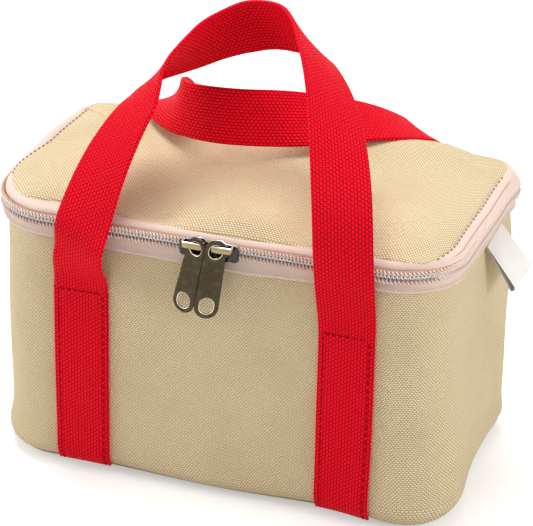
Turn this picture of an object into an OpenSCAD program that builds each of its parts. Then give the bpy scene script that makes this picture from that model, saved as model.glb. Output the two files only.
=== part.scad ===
// Soft insulated lunch bag with a zipped lid and two webbing handles.
// Origin: centre of the underside. +X to the right, +Y to the back, +Z up. Millimetres.

/* [Bag] */
// Width over the two side walls
bag_w = 195; // [170:1:240]
// Depth over the front and back walls
bag_d = 103; // [90:1:140]
// Height of the canvas wall, up to the zip tape
wall_h = 112; // [105:1:150]
// Plan radius of the two front corners
front_corner_r = 25; // [18:1:32]
// Plan radius of the two back corners
back_corner_r = 15; // [13:0.5:20]
// Radius of the rolled bottom edge
bottom_roll_r = 12; // [8:0.5:12]
// Turn of the bottom roll at which the wall meets the base panel, in degrees
bottom_seam_turn = 58; // [40:1:65]

/* [Cloth] */
// Thickness of the canvas
canvas_t = 1.2; // [0.8:0.1:1.6]
// Thickness of the foam insulation
foam_t = 4; // [2:0.5:5]
// Thickness of the foil lining
lining_t = 0.6; // [0.4:0.1:1]
// Thickness of the tape that binds the raw edges
binding_t = 1; // [0.6:0.1:1.4]
// How far the mouth binding reaches down inside the bag
binding_drop = 8; // [4:0.5:16]

/* [Zip] */
// Height of the zip's centre line above the wall's top edge
zip_rise = 5; // [5:0.1:8]
// Distance from the wall's face out to the middle of the coil
zip_proud = 2.2; // [2:0.1:4]
// Thickness of the zip tape
tape_t = 0.8; // [0.5:0.1:0.8]
// How far the lower tape hangs below the zip's centre line
tape_drop = 10.5; // [7:0.5:14]
// Height of the upright part of the upper tape
tape_upright = 3.9; // [3.5:0.1:5]
// How far the upper tape rolls inwards over the lid's edge
tape_roll = 6.4; // [5:0.1:9]
// Radius of the rolled hem along the lower tape
tape_hem_r = 0.7; // [0.4:0.1:0.9]
// Distance between neighbouring turns of one coil
coil_pitch = 1.5; // [1.3:0.1:2.2]
// Width of one half of the coil, from the centre line
coil_half_w = 3; // [2.4:0.1:3.4]
// Thickness of the coil
coil_t = 1.9; // [1.6:0.1:2]
// Width of the wire of the coil
coil_wire = 0.55; // [0.4:0.05:0.6]
// How far each turn hooks past the centre line
coil_hook = 0.45; // [0.3:0.05:0.6]

/* [Lid] */
// Height of the lid panel's edge above the zip's centre line
lid_edge_rise = 6; // [5.8:0.1:9]
// Height that the padded lid crowns above its edge
lid_crown = 4.5; // [2:0.5:12]
// Depth of the slack hollow behind the left end of the zip
lid_slack = 3; // [0:0.5:3]
// Distance from the coil's middle in to the lid panel's edge
lid_inset = 7; // [5:0.5:8]
// Gap between the bag and the lid along the back fold
fold_gap = 0.4; // [0.3:0.1:0.8]

/* [Webbing] */
// Width of the handle webbing
strap_w = 24; // [18:1:30]
// Thickness of the handle webbing
strap_t = 1.8; // [1.2:0.1:2.2]
// Distance from a side wall in to the middle of the nearer leg
strap_inset = 39.5; // [35:0.5:46]
// Distance from the wall's top edge down to the cross stitches, above which the handle is free
stitch_drop = 24.5; // [16:0.5:34]
// Length of the front handle between its cross stitches
front_handle_len = 332; // [310:1:360]
// Length of the back handle between its cross stitches
back_handle_len = 248; // [230:1:270]
// Gap between the webbing and the wall under it
strap_gap = 0.3; // [0.2:0.1:0.6]

/* [Sliders] */
// Length of a slider body
slider_len = 12.4; // [11:0.1:14]
// Width of a slider body at its wide end
slider_w = 9.2; // [8.4:0.1:10]
// Width of a slider body at its narrow end
slider_tail_w = 7.4; // [6.8:0.1:8.4]
// Thickness of a slider's top plate
slider_t = 1; // [0.8:0.1:1.4]
// Gap between the two closed sliders
slider_gap = 0.4; // [0.2:0.1:1]
// Gap between a slider and the coil it runs on
slider_clear = 0.35; // [0.3:0.05:0.5]
// Length of the loop that carries the pull
bail_len = 11.8; // [11.4:0.1:12.2]
// Width of the loop that carries the pull
bail_w = 1.8; // [1.4:0.1:1.9]
// Thickness of the loop that carries the pull
bail_t = 0.9; // [0.7:0.1:1]
// Space under the loop
bail_reach = 2.85; // [2.8:0.05:3.2]

/* [Pulls] */
// Length of a pull below its pivot
pull_len = 33; // [26:1:40]
// Width of a pull at its upper end
pull_top_w = 9.5; // [9.5:0.1:10.2]
// Width of a pull at its lower end
pull_end_w = 10.4; // [9.5:0.1:11]
// Thickness of a pull
pull_t = 1; // [0.8:0.1:1.1]
// Width of the opening at the upper end of a pull
eye_w = 7.3; // [7.3:0.1:7.4]
// Height of that opening above the pivot
eye_top = 1.5; // [1.4:0.05:1.6]
// Depth of that opening below the pivot
eye_low = 4.6; // [4:0.1:6]
// Width of the opening at the lower end of a pull
end_hole_w = 6.6; // [4:0.1:7]
// Length of the opening at the lower end of a pull
end_hole_len = 9.2; // [7.2:0.1:12]
// Turn of a pull about the vertical, so that its eye clears the loop
pull_skew = 26; // [26:0.5:32]
// Lean of the left pull in the plane of the wall
left_pull_lean = 11; // [0:1:14]
// Lean of the right pull in the plane of the wall
right_pull_lean = 7; // [-5:1:9]

/* [Side label] */
// Width of the folded cloth label
label_w = 24; // [14:1:30]
// Length of the folded cloth label
label_len = 20; // [12:1:26]
// Thickness of one ply of the label
label_t = 0.5; // [0.4:0.1:0.8]
// How far back of the middle the label is sewn
label_y = 18; // [-10:1:22]
// Radius of the label's fold
label_fold_r = 1.4; // [1.1:0.1:2]
// Lean of the label away from the wall, in degrees
label_lean = 29; // [10:1:40]

/* [Hidden] */
$fn = 64;

// Heights and half sizes that the pieces share
zip_z = wall_h + zip_rise;
half_w = bag_w / 2 + zip_proud;
half_d = bag_d / 2 + zip_proud;
zip_front_r = front_corner_r + zip_proud;
zip_back_r = back_corner_r + zip_proud;
coil_end_y = half_d - zip_back_r;
// Slack between layers of cloth, so that no two curved faces share a surface
ply_gap = 0.05;
// Slack between the lid's foam and the cloth round it
pad_gap = 0.3;
tape_face = -coil_t / 2 - ply_gap;
seam_z = bottom_roll_r * (1 - sin(bottom_seam_turn));
stitch_z = wall_h - stitch_drop;
strap_spacing = bag_w - 2 * strap_inset;
// The webbing stops where its face would pass below the base
strap_tuck = min(bottom_seam_turn, asin(bottom_roll_r / (bottom_roll_r + strap_gap + strap_t)) - 1);
// How far the back fold reaches down over the wall
fold_tuck = 6;
canvas_c = "BurlyWood";
tape_c = "MistyRose";
strap_c = "Crimson";

function sum(values) = values * [for (v = values) 1];

// ---- Shared shapes ----------------------------------------------------------------

// Plan outline with its own corner radii at the front (-Y) and at the back
module plan(w, d, front_r, back_r) {
    translate([-w / 2 + front_r, -d / 2]) square([w - 2 * front_r, d / 2]);
    translate([-w / 2 + back_r, 0]) square([w - 2 * back_r, d / 2]);
    translate([-w / 2, -d / 2 + front_r]) square([w, d - front_r - back_r]);
    for (side = [-1, 1]) {
        translate([side * (w / 2 - front_r), -d / 2 + front_r]) circle(front_r);
        translate([side * (w / 2 - back_r), d / 2 - back_r]) circle(back_r);
    }
}

// A closed tub shape, "inset" inside the canvas face all round, with a rolled bottom edge
module tub(inset, top) {
    w = bag_w - 2 * inset;
    d = bag_d - 2 * inset;
    front_r = front_corner_r - inset;
    back_r = back_corner_r - inset;
    roll = bottom_roll_r - inset;
    translate([0, 0, bottom_roll_r]) linear_extrude(top - bottom_roll_r) plan(w, d, front_r, back_r);
    translate([0, 0, inset]) {
        linear_extrude(roll) plan(w - 2 * roll, d - 2 * roll, front_r - roll, back_r - roll);
        for (side = [-1, 1]) {
            translate([side * (w / 2 - roll), -d / 2 + front_r, 0])
                mirror([(1 - side) / 2, 0, 0]) edge_along_y(d - front_r - back_r, roll);
            translate([side * (w / 2 - front_r), -d / 2 + front_r, 0])
                rotate([0, 0, side > 0 ? -90 : 180]) edge_round(front_r, roll);
            translate([side * (w / 2 - back_r), d / 2 - back_r, 0])
                rotate([0, 0, side > 0 ? 0 : 90]) edge_round(back_r, roll);
        }
        translate([-w / 2 + front_r, -d / 2 + roll, 0])
            rotate([0, 0, -90]) edge_along_y(w - 2 * front_r, roll);
        translate([w / 2 - back_r, d / 2 - roll, 0])
            rotate([0, 0, 90]) edge_along_y(w - 2 * back_r, roll);
    }
}

// Section of the rolled edge: the lower outer quarter of a disc
module quarter(roll) {
    intersection() {
        translate([0, roll]) circle(roll);
        square([roll, roll]);
    }
}

module edge_along_y(length, roll) {
    translate([0, length, 0]) rotate([90, 0, 0]) linear_extrude(length) quarter(roll);
}

module edge_round(corner_r, roll) {
    rotate_extrude(angle = 90) translate([corner_r - roll, 0]) quarter(roll);
}

// One layer of the bag: the tub between two insets
module layer(inset, thickness, top) {
    difference() {
        tub(inset, top);
        tub(inset + thickness, top + 1);
    }
}

module below(z) {
    translate([-bag_w, -bag_w, z - 2 * bag_w]) cube([2 * bag_w, 2 * bag_w, 2 * bag_w]);
}

module above(z) {
    translate([-bag_w, -bag_w, z]) cube([2 * bag_w, 2 * bag_w, 2 * bag_w]);
}

// The block behind the seams where the side walls meet the back wall
module behind(y) {
    translate([-bag_w, y, -bag_w]) cube([2 * bag_w, bag_w, 4 * bag_w]);
}

// Sweeps a section round the zip: X of the section points outwards from the middle of the
// coil and Y points up from the zip's centre line. "corners" takes in the back corners.
module along_zip(corners = true) {
    front_len = 2 * (half_w - zip_front_r);
    side_len = 2 * half_d - zip_front_r - zip_back_r;
    translate([0, 0, zip_z]) {
        translate([-front_len / 2, -half_d, 0])
            rotate([90, 0, -90]) mirror([0, 0, 1]) linear_extrude(front_len) children();
        for (side = [-1, 1]) mirror([(1 - side) / 2, 0, 0]) {
            translate([half_w - zip_front_r, -half_d + zip_front_r, 0])
                rotate([0, 0, -90]) rotate_extrude(angle = 90) translate([zip_front_r, 0]) children();
            translate([half_w, coil_end_y, 0])
                rotate([90, 0, 0]) linear_extrude(side_len) children();
            if (corners)
                translate([half_w - zip_back_r, coil_end_y, 0])
                    rotate_extrude(angle = 90) translate([zip_back_r, 0]) children();
        }
    }
}

// ---- Bag --------------------------------------------------------------------------

// Front and sides in one piece, wrapped round the front corners
module wall_canvas() {
    color(canvas_c) difference() {
        layer(0, canvas_t, wall_h);
        below(seam_z);
        behind(bag_d / 2 - back_corner_r);
    }
}

module back_canvas() {
    color(canvas_c) intersection() {
        difference() {
            layer(0, canvas_t, wall_h);
            below(seam_z);
        }
        behind(bag_d / 2 - back_corner_r);
    }
}

module base_canvas() {
    color("Tan") difference() {
        layer(0, canvas_t, wall_h);
        above(seam_z);
    }
}

module wall_foam() {
    color("WhiteSmoke") difference() {
        layer(canvas_t, foam_t, wall_h);
        below(bottom_roll_r);
    }
}

module base_foam() {
    color("WhiteSmoke") difference() {
        layer(canvas_t, foam_t, wall_h);
        above(bottom_roll_r);
    }
}

module foil_lining() {
    color("Silver") layer(canvas_t + foam_t, lining_t, wall_h);
}

// Tape folded over the top of the foam and down inside the lining
module mouth_binding() {
    wall_t = canvas_t + foam_t + lining_t;
    outer = -zip_proud;
    inner = -zip_proud - wall_t - ply_gap;
    top = wall_h - zip_z;
    color(tape_c) along_zip() polygon([
        [outer, top], [inner, top], [inner, top - binding_drop],
        [inner - binding_t, top - binding_drop], [inner - binding_t, top + binding_t],
        [outer, top + binding_t]
    ]);
}

// Upright tape with the coil sewn to its outer face and a rolled hem below
module lower_zip_tape() {
    color(tape_c) along_zip() {
        translate([tape_face - tape_t, -tape_drop + tape_hem_r])
            square([tape_t, tape_drop - tape_hem_r - fold_gap]);
        translate([tape_face - tape_t + tape_hem_r, -tape_drop + tape_hem_r]) circle(tape_hem_r, $fn = 24);
    }
}

// Where the canvas folds over from the back wall to the lid: the half below the fold
module back_fold_lower() {
    color(canvas_c) back_band(wall_h - fold_tuck, zip_z - fold_gap);
}

module back_band(low, high) {
    reach = half_w - zip_back_r;
    translate([-reach, half_d + tape_face - canvas_t, low])
        cube([2 * reach, canvas_t, high - low]);
}

// Folded cloth label sewn in under the lower tape of the right-hand wall
module side_label() {
    r = label_fold_r;
    // The plies draw together towards their seam
    inner_ply = 2 * ply_gap + label_t;
    outer_ply = inner_ply + label_t + 2 * ply_gap;
    color("White") translate([bag_w / 2 + strap_gap, label_y + label_w / 2, zip_z - tape_drop - 2 * label_t])
        rotate([90, 0, 0]) linear_extrude(label_w) rotate(label_lean) translate([0, -label_len]) {
            difference() {
                translate([r, r]) circle(r);
                translate([r, r]) circle(r - label_t);
                translate([0, r]) square(2 * r);
            }
            polygon([[0, r], [label_t, r], [inner_ply, label_len], [inner_ply - label_t, label_len]]);
            polygon([[2 * r - label_t, r], [2 * r, r], [outer_ply, label_len], [outer_ply - label_t, label_len]]);
        }
}

// A leg of webbing sewn flat to the wall, from the cross stitches down round the bottom
// roll to the base seam. face is -1 at the front and 1 at the back.
module sewn_strap(side, face) {
    inner_r = bottom_roll_r + strap_gap;
    outer_r = inner_r + strap_t;
    color(strap_c) translate([side * strap_spacing / 2, face * (bag_d / 2 - bottom_roll_r), 0])
        mirror([0, (1 - face) / 2, 0]) rotate([90, 0, 90]) translate([0, 0, -strap_w / 2])
        linear_extrude(strap_w) {
            translate([inner_r, bottom_roll_r]) square([strap_t, stitch_z - bottom_roll_r]);
            intersection() {
                translate([0, bottom_roll_r]) difference() {
                    circle(outer_r);
                    circle(inner_r);
                }
                polygon([
                    [0, bottom_roll_r], [2 * outer_r, bottom_roll_r],
                    [2 * outer_r, bottom_roll_r - 2 * outer_r * tan(strap_tuck)]
                ]);
            }
        }
}

// ---- Zip coils --------------------------------------------------------------------

// Puts its child on the zip at a distance s along it, measured from the middle of the front
module on_zip(s) {
    straight = half_w - zip_front_r;
    arc = zip_front_r * PI / 2;
    d = abs(s);
    turn = min(max(d - straight, 0), arc) / zip_front_r * 180 / PI;
    side = max(d - straight - arc, 0);
    mirror([s < 0 ? 1 : 0, 0, 0])
        translate([straight, -half_d + zip_front_r + side, zip_z])
        rotate([0, 0, turn])
        translate([min(d, straight) - straight, -zip_front_r, 0]) children();
}

// How far the coil's cord lies inside its turns
cord_inset = 0.3;

// One half of the coil: turns of wire that hook past the centre line, on a common cord.
// up is 1 for the lid's half and -1 for the bag's half.
module zip_coil(up, phase) {
    half_len = half_w - zip_front_r + zip_front_r * PI / 2 + coil_end_y + half_d - zip_front_r;
    count = floor(half_len / coil_pitch - phase);
    cord_low = 2 * coil_hook + cord_inset;
    color("Silver") {
        along_zip(corners = false) mirror([0, (1 - up) / 2])
            translate([-coil_t / 2 + cord_inset / 2, cord_low])
            square([coil_t - cord_inset, coil_half_w - cord_low - cord_inset]);
        for (i = [-count : count - 2 * phase])
            on_zip((i + phase) * coil_pitch) mirror([0, 0, (1 - up) / 2])
                translate([-coil_wire / 2, -coil_t / 2, -coil_hook])
                cube([coil_wire, coil_t, coil_half_w + coil_hook]);
    }
}

module lower_zip_coil() {
    zip_coil(-1, 0);
}

module upper_zip_coil() {
    zip_coil(1, 0.5);
}

// ---- Lid --------------------------------------------------------------------------

lid_w = 2 * (half_w - lid_inset);
lid_front = half_d - lid_inset;
lid_back = half_d + tape_face - canvas_t - ply_gap;
lid_front_r = zip_front_r - lid_inset;
lid_back_r = 7;
foam_margin = 1.5;
lid_steps = 12;

// Points of the lid panel's outline, anticlockwise, with lid_steps spans to each corner
function corner_points(cx, cy, r, from) =
    [for (i = [0 : lid_steps]) [cx + r * cos(from + 90 * i / lid_steps), cy + r * sin(from + 90 * i / lid_steps)]];
function lid_outline(inset) = let (x = lid_w / 2 - inset, f = -lid_front + inset, b = lid_back - inset) concat(
    corner_points(x - lid_front_r, f + lid_front_r, lid_front_r, -90),
    corner_points(x - lid_back_r, b - lid_back_r, lid_back_r, 0),
    corner_points(-x + lid_back_r, b - lid_back_r, lid_back_r, 90),
    corner_points(-x + lid_front_r, f + lid_front_r, lid_front_r, 180)
);

// The foam stops short of the canvas edge, and is cut away round the tape in the back corners
foam_side = lid_inset + foam_margin;
function foam_outline() = let (
    x = half_w - foam_side,
    f = -half_d + foam_side,
    b = lid_back - foam_margin,
    corner_r = zip_back_r + tape_face - tape_roll - pad_gap,
    cut_x = half_w - zip_back_r - pad_gap,
    front_r = zip_front_r - foam_side
) concat(
    corner_points(x - front_r, f + front_r, front_r, -90),
    corner_points(cut_x, coil_end_y, corner_r, 0),
    [[cut_x, b], [-cut_x, b]],
    corner_points(-cut_x, coil_end_y, corner_r, 90),
    corner_points(-x + front_r, f + front_r, front_r, 180)
);

// Rings of the padded panel, from its rim in to its middle
lid_rings = [1, 0.97, 0.9, 0.8, 0.66, 0.48, 0.26];
// Soft hollows (below 0) and swells of the panel, as shares of its slack:
// [place across, place back, reach across, reach back, share]
lid_folds = [[-31, -22, 18, 32, -1], [36, -26, 12, 26, -0.5], [12, -40, 26, 16, 0.6], [76, -20, 22, 26, 0.4]];
function fold_at(p, f) = f[4] * exp(-pow((p[0] - f[0]) / f[2], 2) - pow((p[1] - f[1]) / f[3], 2));
function crown_at(t, p) =
    lid_crown * (1 - pow(t, 4.5)) + lid_slack * min(1, 8 * (1 - t)) * sum([for (f = lid_folds) fold_at(p, f)]);

// A padded panel: a crowned top face over a face that follows it, or over a flat one
module padded_panel(outline, low, high, crowned_below) {
    n = len(outline);
    rings = len(lid_rings);
    middle = [0, (lid_back - lid_front) / 2];
    ring_point = function (k, i, base, crown)
        let (t = lid_rings[k], p = middle + (outline[i] - middle) * t)
        [p[0], p[1], base + crown * crown_at(t, p)];
    faces_of = function (start, flip) [
        for (k = [0 : rings - 2], i = [0 : n - 1], h = [0, 1])
            let (
                a = start + k * n + i,
                b = start + k * n + (i + 1) % n,
                c = b + n,
                d = a + n,
                face = h == 0 ? [a, c, b] : [a, d, c]
            ) flip ? [face[2], face[1], face[0]] : face
    ];
    half = rings * n + 1;
    cap_of = function (start, flip) [
        for (i = [0 : n - 1])
            let (inner = start + (rings - 1) * n, a = inner + i, b = inner + (i + 1) % n, m = inner + n)
            flip ? [b, m, a] : [a, m, b]
    ];
    below_crown = crowned_below ? 1 : 0;
    top_crown = crown_at(0, middle);
    points = concat(
        [for (k = [0 : rings - 1], i = [0 : n - 1]) ring_point(k, i, high, 1)],
        [[middle[0], middle[1], high + top_crown]],
        [for (k = [0 : rings - 1], i = [0 : n - 1]) ring_point(k, i, low, below_crown)],
        [[middle[0], middle[1], low + top_crown * below_crown]]
    );
    rim = [
        for (i = [0 : n - 1], h = [0, 1])
            let (a = i, b = (i + 1) % n, c = half + (i + 1) % n, d = half + i)
            h == 0 ? [a, b, c] : [a, c, d]
    ];
    polyhedron(points, concat(faces_of(0, false), cap_of(0, false), faces_of(half, true), cap_of(half, true), rim));
}

module lid_canvas() {
    edge = zip_z + lid_edge_rise;
    color(canvas_c) padded_panel(lid_outline(0), edge, edge + canvas_t, true);
}

module lid_foam() {
    low = lid_lining_z + lining_t + ply_gap;
    high = zip_z + lid_edge_rise - pad_gap;
    color("WhiteSmoke") padded_panel(foam_outline(), low, high, false);
}

lid_lining_rise = 1.2;
lid_lining_z = zip_z + lid_lining_rise;
lid_pad_margin = 1.4;
lid_pad_inset = zip_proud + lid_pad_margin;
lid_tape_out = 1.2;
lid_tape_low = 0.8;
lid_tape_w = 2.2;

module lid_lining() {
    color("Silver") translate([0, 0, lid_lining_z]) linear_extrude(lining_t)
        plan(bag_w - 2 * lid_pad_inset, bag_d - 2 * lid_pad_inset,
            front_corner_r - lid_pad_inset, back_corner_r - lid_pad_inset);
}

// Narrow tape that closes the edge of the lid's lining
module lid_binding() {
    outer = -zip_proud - lid_pad_inset + lid_tape_out;
    color(tape_c) along_zip() translate([outer - binding_t, lid_tape_low]) square([binding_t - ply_gap, lid_tape_w]);
}

// Places in the tape's section: where it turns in, where its roll starts, where it lies flat
turn_in = 0.5;
turn_up = 1.4;
inner_turn_up = 0.8;
roll_in = 1.7;
inner_roll_in = 2.1;
roll_drop = 0.5;
flat_in = 3;

// Upright beside the coil, then rolled in over the edge of the lid
module upper_zip_tape() {
    out = tape_face;
    roll_top = lid_edge_rise - ply_gap;
    color(tape_c) along_zip() polygon([
        [out, fold_gap], [out, tape_upright], [out - turn_in, tape_upright + turn_up],
        [out - roll_in, roll_top - roll_drop], [out - flat_in, roll_top], [out - tape_roll, roll_top],
        [out - tape_roll, roll_top - tape_t], [out - flat_in, roll_top - tape_t],
        [out - inner_roll_in, roll_top - roll_drop - tape_t],
        [out - turn_in - tape_t, tape_upright + inner_turn_up],
        [out - tape_t, tape_upright], [out - tape_t, fold_gap]
    ]);
}

module back_fold_upper() {
    color(canvas_c) back_band(zip_z + fold_gap, zip_z + lid_edge_rise - ply_gap);
}

// ---- Handles ----------------------------------------------------------------------

// A handle is one length of webbing. It starts upright at each row of cross stitches, and
// each half is rolled out towards the middle as spans of
// [share of the handle's length, bend across the webbing, twist along it], both in degrees.
front_left_spans = [[11, 35, 6], [11, -28, 13], [12, -33, -14], [56, -33, 35], [40, -15, 68], [22, -53, 21]];
front_right_spans = [[12, 20, 6], [21, -10, 7], [34, -55, 12], [71, -33, 48], [22, -28, 28], [20, -45, 6]];
back_left_spans = [[14, 21, 0], [12, -10, 5], [18, -58, 13], [10, -18, 17], [29, -20, 58], [10, -28, 16]];
back_right_spans = [[23, 26, 9], [10, -6, 21], [14, -80, 26], [34, -18, 29], [40, 3, 46], [34, -69, 10]];
span_steps = 8;

function turned(v, axis, angle) =
    v * cos(angle) + cross(axis, v) * sin(angle) + axis * (axis * v) * (1 - cos(angle));

// One station further on: state is [place, direction, width direction]
function half_turn(state, bend, twist) =
    let (spin = state[2] * bend + state[1] * twist, angle = norm(spin), axis = angle > 0 ? spin / angle : [1, 0, 0])
    [state[0], turned(state[1], axis, angle), turned(state[2], axis, angle)];
function advance(state, span, unit) =
    let (
        step = span / span_steps,
        mid = half_turn(state, step[1] / 2, step[2] / 2),
        moved = [mid[0] + mid[1] * step[0] * unit, mid[1], mid[2]]
    ) half_turn(moved, step[1] / 2, step[2] / 2);

// Stations of a half handle, as if it were the right-hand half of the front one
function roll_out(spans, unit) =
    let (start = [[strap_spacing / 2, -(bag_d / 2 + strap_gap + strap_t / 2), stitch_z], [0, 0, 1], [1, 0, 0]])
    [
        for (i = 0, s = start; i <= len(spans) * span_steps; i = i + 1,
            s = i <= len(spans) * span_steps ? advance(s, spans[floor((i - 1) / span_steps)], unit) : s) s
    ];

// Mirrors stations to the left (side -1) and to the back (face 1)
function placed(stations, side, face) =
    [for (s = stations) [for (v = s) [side * v[0], -face * v[1], v[2]]]];

// Brings the two halves together at the middle, with the small misfit shared along them
function closed(stations, middle) =
    let (n = len(stations) - 1, last = stations[n])
    [
        for (i = [0 : n]) let (k = pow(i / n, 2), w = stations[i][2] + (middle[2] - last[2]) * k)
            [stations[i][0] + (middle[0] - last[0]) * k, w / norm(w)]
    ];

function shares(spans) = sum([for (s = spans) s[0]]);
function handle_stations(left_spans, right_spans, length, face) =
    let (
        unit = length / (shares(left_spans) + shares(right_spans)),
        left = placed(roll_out(left_spans, unit), -1, face),
        right = placed(roll_out(right_spans, unit), 1, face),
        a = left[len(left) - 1],
        b = right[len(right) - 1],
        middle = (a + b) / 2,
        l = closed(left, middle),
        r = closed(right, middle)
    )
    concat(l, [for (i = [len(r) - 2 : -1 : 0]) r[i]]);

// Webbing swept along stations of [place, width direction]
module webbing(stations) {
    n = len(stations);
    corners = [
        for (i = [0 : n - 1])
            let (
                p = stations[i][0],
                ahead = stations[min(i + 1, n - 1)][0] - stations[max(i - 1, 0)][0],
                along = (i == 0 || i == n - 1) ? [0, 0, i == 0 ? 1 : -1] : ahead / norm(ahead),
                across0 = stations[i][1] - along * (along * stations[i][1]),
                across = across0 / norm(across0) * strap_w / 2,
                out = cross(along, across) / norm(across) * strap_t / 2
            )
            each [p + across + out, p - across + out, p - across - out, p + across - out]
    ];
    sides = [
        for (i = [0 : n - 2], k = [0 : 3], h = [0, 1])
            let (a = 4 * i + k, b = 4 * i + (k + 1) % 4, c = b + 4, d = a + 4)
            h == 0 ? [a, b, c] : [a, c, d]
    ];
    last = 4 * (n - 1);
    color(strap_c) polyhedron(corners, concat(sides, [[3, 2, 1, 0], [last, last + 1, last + 2, last + 3]]));
}

module front_handle() {
    webbing(handle_stations(front_left_spans, front_right_spans, front_handle_len, -1));
}

module back_handle() {
    webbing(handle_stations(back_left_spans, back_right_spans, back_handle_len, 1));
}

// ---- Sliders and pulls ------------------------------------------------------------

plate_inner = half_d + coil_t / 2 + slider_clear;
plate_outer = plate_inner + slider_t;
pivot_y = -(plate_outer + bail_reach + bail_t / 2);
slider_x = (slider_len + slider_gap) / 2;
bail_shift = 0.5;
pivot_shift = 0.8;

// Cuts and places in the slider's outline, and its flange
tail_cut = 1;
nose_cut = 1.2;
nose_notch = 1.1;
waist_from = -1.5;
waist_to = 1;
flange_t = 0.7;
flange_tail_t = 0.5;
flange_gap = 0.3;
bail_cut = 1.2;

// Slider body over the coil, narrow at the end that trails as the zip closes, with a
// flange behind the lower half of the coil. Its wide end faces +X.
module slider_body() {
    tail = -slider_len / 2;
    nose = slider_len / 2;
    narrow = slider_tail_w / 2;
    wide = slider_w / 2;
    flange_reach = coil_t + slider_clear - flange_gap;
    color("DarkGoldenrod") translate([0, -plate_inner, zip_z]) rotate([90, 0, 0]) {
        linear_extrude(slider_t) polygon([
            [tail, -narrow + tail_cut], [tail + tail_cut, -narrow], [waist_from, -narrow],
            [waist_to, -wide], [nose - nose_cut, -wide], [nose, -wide + nose_cut],
            [nose, -nose_notch], [nose - nose_notch, 0], [nose, nose_notch],
            [nose, wide - nose_cut], [nose - nose_cut, wide], [waist_to, wide],
            [waist_from, narrow], [tail + tail_cut, narrow], [tail, narrow - tail_cut]
        ]);
        translate([0, 0, -flange_reach]) linear_extrude(flange_reach) polygon([
            [tail + tail_cut, -narrow], [waist_from, -narrow], [waist_to, -wide],
            [nose - nose_cut, -wide], [nose - nose_cut, -wide + flange_t], [waist_to, -wide + flange_t],
            [waist_from, -narrow + flange_tail_t], [tail + tail_cut, -narrow + flange_tail_t]
        ]);
    }
}

// Loop over the slider body that holds the pull
module bail() {
    reach = bail_reach + bail_t;
    color("PaleGoldenrod") translate([-bail_shift, -plate_outer, zip_z - bail_w / 2])
        linear_extrude(bail_w) difference() {
            polygon([
                [-bail_len / 2, 0], [-bail_len / 2, -reach + bail_cut], [-bail_len / 2 + bail_cut, -reach],
                [bail_len / 2 - bail_cut, -reach], [bail_len / 2, -reach + bail_cut], [bail_len / 2, 0]
            ]);
            translate([-bail_len / 2 + bail_t, -bail_reach]) square([bail_len - 2 * bail_t, bail_reach + 1]);
        }
}

// Flat tapered pull with an eye round the loop and a longer opening at its lower end
module pull(lean, skew) {
    rim = (pull_top_w - eye_w) / 2;
    end_rim = (pull_end_w - end_hole_w) / 2;
    hole_low = -pull_len + end_rim;
    hole_high = hole_low + end_hole_len;
    color("DarkOliveGreen") translate([0, pivot_y, zip_z]) rotate([0, 0, skew]) rotate([0, lean, 0])
        rotate([90, 0, 0]) translate([0, 0, -pull_t / 2])
            linear_extrude(pull_t) difference() {
                pull_outline(eye_top + rim);
                pull_eye(eye_top, eye_low);
                pull_end_hole(hole_low, hole_high);
            }
}

// Cut corners of a pull's upper end, and of its eye
pull_chamfer = 2;
eye_chamfer = 0.7;
eye_low_chamfer = 1.6;

// Points round the middle at a height, from one angle to another
arc_steps = 24;
function arc_points(height, r, from, to) = [
    for (i = [0 : arc_steps]) let (a = from + (to - from) * i / arc_steps) [r * cos(a), height + r * sin(a)]
];

module pull_outline(top) {
    end_r = pull_end_w / 2;
    polygon(concat(
        [
            [-pull_top_w / 2, top - pull_chamfer], [-pull_top_w / 2 + pull_chamfer, top],
            [pull_top_w / 2 - pull_chamfer, top], [pull_top_w / 2, top - pull_chamfer]
        ],
        arc_points(-pull_len + end_r, end_r, 0, -180)
    ));
}

module pull_eye(top, low) {
    a = eye_chamfer;
    b = eye_low_chamfer;
    polygon([
        [-eye_w / 2, top - a], [-eye_w / 2 + a, top], [eye_w / 2 - a, top], [eye_w / 2, top - a],
        [eye_w / 2, -low + b], [eye_w / 2 - b, -low], [-eye_w / 2 + b, -low], [-eye_w / 2, -low + b]
    ]);
}

module pull_end_hole(low, high) {
    r = end_hole_w / 2;
    polygon(concat(arc_points(high - r, r, 0, 180), arc_points(low + r, r, 180, 360)));
}

module left_slider() {
    translate([-slider_x, 0, 0]) slider_body();
}

module left_bail() {
    translate([-slider_x, 0, 0]) bail();
}

module left_pull() {
    translate([-slider_x + pivot_shift, 0, 0]) pull(left_pull_lean, -pull_skew);
}

module right_slider() {
    mirror([1, 0, 0]) left_slider();
}

module right_bail() {
    mirror([1, 0, 0]) left_bail();
}

module right_pull() {
    translate([slider_x - pivot_shift, 0, 0]) pull(right_pull_lean, pull_skew);
}

wall_canvas();
back_canvas();
base_canvas();
wall_foam();
base_foam();
foil_lining();
mouth_binding();
lower_zip_tape();
lower_zip_coil();
back_fold_lower();
side_label();
sewn_strap(-1, -1);  // front_strap_left
sewn_strap(1, -1);  // front_strap_right
sewn_strap(-1, 1);  // back_strap_left
sewn_strap(1, 1);  // back_strap_right
lid_canvas();
lid_foam();
lid_lining();
lid_binding();
upper_zip_tape();
upper_zip_coil();
back_fold_upper();
front_handle();
back_handle();
left_slider();
left_bail();
left_pull();
right_slider();
right_bail();
right_pull();
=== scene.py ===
import math
import bpy
import numpy as np
from mathutils import Matrix, Vector


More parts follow.
